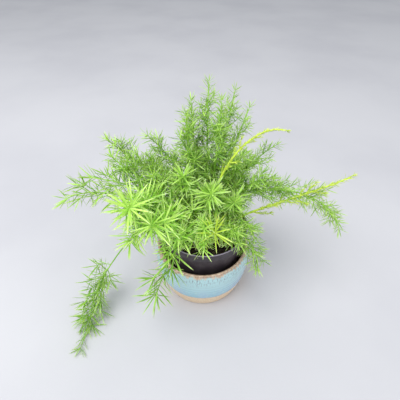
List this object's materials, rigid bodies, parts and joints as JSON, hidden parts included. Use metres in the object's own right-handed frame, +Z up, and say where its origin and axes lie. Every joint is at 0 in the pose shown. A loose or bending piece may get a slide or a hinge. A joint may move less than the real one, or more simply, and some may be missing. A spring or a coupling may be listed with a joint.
{
  "type": "potted sprengeri fern",
  "caption": "Potted sprengeri fern: arching, needle-leaved stems in a dark nursery pot that stands in a low, blue-glazed stoneware cover pot, with long stems that trail over the front rim.",
  "frame": {"origin": "centre of the cover pot's foot, on the surface that it stands on", "axes": "+Z up; +X to the right as seen from the front; the front, where two stems trail over the rim, faces -Y"},
  "size_m": [0.3664, 0.237, 0.284],
  "materials": {
    "glazed_stoneware": "gloss",
    "dark_plastic": "satin",
    "soil": "matt",
    "foliage": "satin",
    "bright_foliage": "satin",
    "young_foliage": "satin"
  },
  "bodies": {
    "root": {"cover_pot": "glazed_stoneware", "nursery_pot": "dark_plastic", "potting_soil": "soil", "stem_back_tall": "foliage", "stem_back_left_tall": "foliage", "stem_back_right_tall": "foliage", "stem_upright": "foliage", "stem_inner_tall": "foliage", "stem_left_back_far": "foliage", "stem_left_back_near": "foliage", "stem_left_back_mid": "foliage", "stem_left_upper": "foliage", "stem_left_lower": "foliage", "stem_rosette": "bright_foliage", "stem_rosette_low": "bright_foliage", "stem_left_shoulder": "bright_foliage", "stem_trailing_long": "foliage", "stem_trailing_short": "foliage", "stem_front_droop": "bright_foliage", "stem_star": "young_foliage", "stem_centre_star": "foliage", "stem_centre_right": "foliage", "stem_right_droop": "foliage", "stem_right_front": "foliage", "stem_right_back_low": "foliage", "stem_right_back_high": "foliage", "stem_right_middle": "foliage", "stem_young_arching": "young_foliage", "stem_young_right": "young_foliage", "stem_right_far": "foliage", "stem_right_outer": "foliage", "stem_inner_left": "foliage", "stem_inner_right": "foliage", "stem_front_left": "bright_foliage", "stem_front_right": "foliage", "stem_rear_low": "foliage", "stem_rear_right": "foliage", "stem_rear_left": "foliage"}
  },
  "joints": []
}
